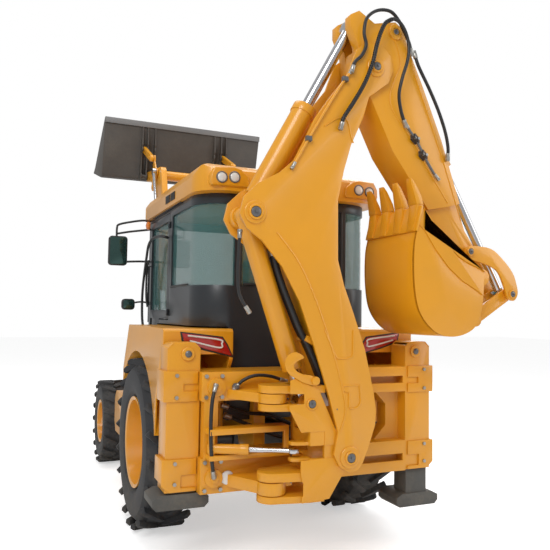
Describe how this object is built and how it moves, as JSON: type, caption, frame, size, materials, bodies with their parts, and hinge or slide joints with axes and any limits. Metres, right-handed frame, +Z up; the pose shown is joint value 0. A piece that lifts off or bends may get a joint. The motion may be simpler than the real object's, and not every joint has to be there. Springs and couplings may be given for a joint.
{
  "type": "backhoe loader",
  "caption": "Wheeled tractor with a hollow cab, a lifting front loader bucket, side-shift backhoe with boom, dipper and bucket, and sliding stabiliser legs.",
  "frame": {"origin": "on the ground, on the centre line, under the rear axle", "axes": "+X the machine's right, +Y forwards, +Z up"},
  "size_m": [2.7824, 5.52, 4.33],
  "materials": {
    "yellow_paint": "semi-gloss",
    "dark_paint": "satin",
    "leg_paint": "worn matt",
    "bucket_paint": "worn matt",
    "cab_black": "gloss",
    "dark_plastic": "matt",
    "chromed_steel": "polished",
    "tyre_rubber": "matt",
    "seat_cloth": "matt",
    "tinted_glass": "clear",
    "lamp_red": "gloss",
    "lamp_clear": "gloss"
  },
  "bodies": {
    "machine": {"chassis": "yellow_paint", "engine_block": "dark_paint", "driveline": "dark_paint", "exhaust": "dark_paint", "front_axle": "dark_paint", "rear_mudguards": "yellow_paint", "tail_lamps": "lamp_red", "cab_frame": "cab_black", "cab_roof": "yellow_paint", "cab_glass": "tinted_glass", "seat_cushions": "seat_cloth", "operator_station": "dark_plastic", "side_tanks": "yellow_paint", "mirrors": "dark_plastic", "roof_lamps": "lamp_clear", "stabiliser_frame": "yellow_paint"},
    "hood_body": {"hood": "yellow_paint", "grille": "dark_plastic"},
    "rear_wheel_left": {"rear_tyre_left": "tyre_rubber", "rear_rim_left": "yellow_paint"},
    "rear_wheel_right": {"rear_tyre_right": "tyre_rubber", "rear_rim_right": "yellow_paint"},
    "front_wheel_left": {"front_tyre_left": "tyre_rubber", "front_rim_left": "yellow_paint"},
    "front_wheel_right": {"front_tyre_right": "tyre_rubber", "front_rim_right": "yellow_paint"},
    "steer_left": {"knuckle_left": "dark_paint"},
    "steer_right": {"knuckle_right": "dark_paint"},
    "door_l": {"door_left": "cab_black", "door_glass_left": "tinted_glass"},
    "door_r": {"door_right": "cab_black", "door_glass_right": "tinted_glass"},
    "arms": {"loader_arms": "yellow_paint", "tilt_barrels": "yellow_paint"},
    "levers": {"tilt_levers": "yellow_paint"},
    "links": {"tilt_links": "yellow_paint"},
    "front_bucket": {"loader_bucket": "bucket_paint"},
    "lift_cylinders": {"lift_barrels": "yellow_paint"},
    "lift_pistons": {"lift_rods": "chromed_steel"},
    "tilt_pistons": {"tilt_rods": "chromed_steel"},
    "side_shift": {"carriage": "yellow_paint", "swing_barrel": "yellow_paint"},
    "king": {"kingpost": "yellow_paint"},
    "swing_piston": {"swing_rod": "chromed_steel"},
    "boom_body": {"boom": "yellow_paint"},
    "boom_cylinder": {"boom_barrel": "yellow_paint"},
    "boom_piston": {"boom_rod": "chromed_steel"},
    "dipper_body": {"dipper": "yellow_paint"},
    "dipper_cylinder": {"dipper_barrel": "yellow_paint"},
    "dipper_piston": {"dipper_rod": "chromed_steel"},
    "crowd_cylinder": {"crowd_barrel": "yellow_paint"},
    "crowd_piston": {"crowd_rod": "chromed_steel"},
    "tip_lever": {"tipping_lever": "yellow_paint"},
    "tip_link": {"tipping_link": "yellow_paint"},
    "rear_bucket": {"digger_bucket": "yellow_paint"},
    "stabiliser_l": {"leg_left": "leg_paint"},
    "stabiliser_r": {"leg_right": "leg_paint"}
  },
  "joints": [
    {"name": "rear_wheel_left_spin", "type": "hinge", "parent": "machine", "child": "rear_wheel_left", "pos_m": [-0.915, 0, 0.715], "axis": [1, 0, 0], "continuous": true},
    {"name": "front_wheel_left_spin", "type": "hinge", "parent": "steer_left", "child": "front_wheel_left", "pos_m": [-0.895, 2.48, 0.49], "axis": [1, 0, 0], "continuous": true},
    {"name": "rear_wheel_right_spin", "type": "hinge", "parent": "machine", "child": "rear_wheel_right", "pos_m": [0.915, 0, 0.715], "axis": [1, 0, 0], "continuous": true},
    {"name": "front_wheel_right_spin", "type": "hinge", "parent": "steer_right", "child": "front_wheel_right", "pos_m": [0.895, 2.48, 0.49], "axis": [1, 0, 0], "continuous": true},
    {"name": "steering_left", "type": "hinge", "parent": "machine", "child": "steer_left", "pos_m": [-0.78, 2.48, 0.49], "axis": [0, 0, 1], "range_deg": [-38, 38]},
    {"name": "steering_right", "type": "hinge", "parent": "machine", "child": "steer_right", "pos_m": [0.78, 2.48, 0.49], "axis": [0, 0, 1], "range_deg": [-38, 38]},
    {"name": "door_left_swing", "type": "hinge", "parent": "machine", "child": "door_l", "pos_m": [-0.8005, 0.112, 2.2], "axis": [0, 0, 1], "range_deg": [0, 80]},
    {"name": "door_right_swing", "type": "hinge", "parent": "machine", "child": "door_r", "pos_m": [0.8005, 0.112, 2.2], "axis": [0, 0, 1], "range_deg": [-80, 0]},
    {"name": "hood_tilt", "type": "hinge", "parent": "machine", "child": "hood_body", "pos_m": [0, 3.012, 0.957], "axis": [-1, 0, 0], "range_deg": [0, 60]},
    {"name": "loader_lift", "type": "hinge", "parent": "machine", "child": "arms", "pos_m": [0, 1.25, 1.56], "axis": [1, 0, 0], "range_deg": [-91.3, 0]},
    {"name": "lift_cylinder_turn", "type": "hinge", "parent": "machine", "child": "lift_cylinders", "pos_m": [0, 1.15, 0.8], "axis": [1, 0, 0], "range_deg": [-52, 2]},
    {"name": "lift_piston_slide", "type": "slide", "parent": "lift_cylinders", "child": "lift_pistons", "axis": [0, 0.3138, 0.9495], "range_m": [-0.7, 0.01]},
    {"name": "bucket_tilt", "type": "hinge", "parent": "arms", "child": "front_bucket", "pos_m": [0, 2.69, 3.61], "axis": [-1, 0, 0], "range_deg": [-76.4, 50]},
    {"name": "lever_turn", "type": "hinge", "parent": "arms", "child": "levers", "pos_m": [0, 2.235, 3.393], "axis": [-1, 0, 0], "range_deg": [-78, 52]},
    {"name": "link_turn", "type": "hinge", "parent": "levers", "child": "links", "pos_m": [0, 2.193, 3.746], "axis": [-1, 0, 0], "range_deg": [-52, 78]},
    {"name": "tilt_piston_slide", "type": "slide", "parent": "arms", "child": "tilt_pistons", "axis": [0, 0.3944, 0.9189], "range_m": [-0.28, 0.19]},
    {"name": "side_shift_slide", "type": "slide", "parent": "machine", "child": "side_shift", "axis": [1, 0, 0], "range_m": [0, 0.92]},
    {"name": "backhoe_swing", "type": "hinge", "parent": "side_shift", "child": "king", "pos_m": [-0.46, -1.55, 0.96], "axis": [0, 0, -1], "range_deg": [0, 180]},
    {"name": "swing_piston_slide", "type": "slide", "parent": "side_shift", "child": "swing_piston", "axis": [0.8944, -0.4472, 0], "range_m": [-0.155, 0.005]},
    {"name": "boom_lower", "type": "hinge", "parent": "king", "child": "boom_body", "pos_m": [0.048, -1.55, 0.859], "axis": [0, 1, 0], "range_deg": [0, 100]},
    {"name": "boom_cylinder_turn", "type": "hinge", "parent": "boom_body", "child": "boom_cylinder", "pos_m": [-0.677, -1.55, 2.493], "axis": [0, 1, 0], "range_deg": [-1, 8]},
    {"name": "boom_piston_slide", "type": "slide", "parent": "boom_cylinder", "child": "boom_piston", "axis": [0.3278, 0, -0.9447], "range_m": [-0.01, 0.7]},
    {"name": "dipper_reach", "type": "hinge", "parent": "boom_body", "child": "dipper_body", "pos_m": [0.24, -1.55, 3.62], "axis": [0, -1, 0], "range_deg": [0, 100]},
    {"name": "dipper_cylinder_turn", "type": "hinge", "parent": "boom_body", "child": "dipper_cylinder", "pos_m": [-0.677, -1.55, 2.493], "axis": [0, -1, 0], "range_deg": [-5, 1]},
    {"name": "dipper_piston_slide", "type": "slide", "parent": "dipper_cylinder", "child": "dipper_piston", "axis": [0.4787, 0, 0.878], "range_m": [-0.55, 0.01]},
    {"name": "bucket_open", "type": "hinge", "parent": "dipper_body", "child": "rear_bucket", "pos_m": [1.27, -1.55, 2.141], "axis": [0, -1, 0], "range_deg": [0, 150]},
    {"name": "tipping_lever_turn", "type": "hinge", "parent": "dipper_body", "child": "tip_lever", "pos_m": [1.12, -1.55, 2.332], "axis": [0, -1, 0], "range_deg": [-1, 97]},
    {"name": "tipping_link_turn", "type": "hinge", "parent": "tip_lever", "child": "tip_link", "pos_m": [1.54, -1.55, 2.014], "axis": [0, -1, 0], "range_deg": [-24, 1]},
    {"name": "crowd_cylinder_turn", "type": "hinge", "parent": "dipper_body", "child": "crowd_cylinder", "pos_m": [0.43, -1.55, 3.929], "axis": [0, -1, 0], "range_deg": [-1, 11]},
    {"name": "crowd_piston_slide", "type": "slide", "parent": "crowd_cylinder", "child": "crowd_piston", "axis": [0.5015, 0, -0.8652], "range_m": [-0.73, 0.01]},
    {"name": "leg_left_slide", "type": "slide", "parent": "machine", "child": "stabiliser_l", "axis": [0, 0, -1], "range_m": [0, 0.57]},
    {"name": "leg_right_slide", "type": "slide", "parent": "machine", "child": "stabiliser_r", "axis": [0, 0, -1], "range_m": [-0.18, 0.39]}
  ],
  "couplings": [
    {"joint": "steering_left", "follows": "steering_right", "ratio": 1},
    {"joint": "lift_cylinder_turn", "follows": "loader_lift", "ratio": 0.542},
    {"joint": "lift_piston_slide", "follows": "loader_lift", "m_per_rad": 0.4274},
    {"joint": "lever_turn", "follows": "bucket_tilt", "ratio": 1},
    {"joint": "link_turn", "follows": "bucket_tilt", "ratio": -1},
    {"joint": "tilt_piston_slide", "follows": "bucket_tilt", "m_per_rad": 0.2},
    {"joint": "swing_piston_slide", "follows": "backhoe_swing", "m_per_rad": -0.0477},
    {"joint": "boom_cylinder_turn", "follows": "boom_lower", "ratio": 0.0741},
    {"joint": "boom_piston_slide", "follows": "boom_lower", "m_per_rad": 0.3914},
    {"joint": "dipper_cylinder_turn", "follows": "dipper_reach", "ratio": -0.041},
    {"joint": "dipper_piston_slide", "follows": "dipper_reach", "m_per_rad": -0.306},
    {"joint": "tipping_lever_turn", "follows": "bucket_open", "ratio": 0.636},
    {"joint": "tipping_link_turn", "follows": "bucket_open", "ratio": -0.147},
    {"joint": "crowd_cylinder_turn", "follows": "bucket_open", "ratio": 0.0667},
    {"joint": "crowd_piston_slide", "follows": "bucket_open", "m_per_rad": -0.2717}
  ]
}
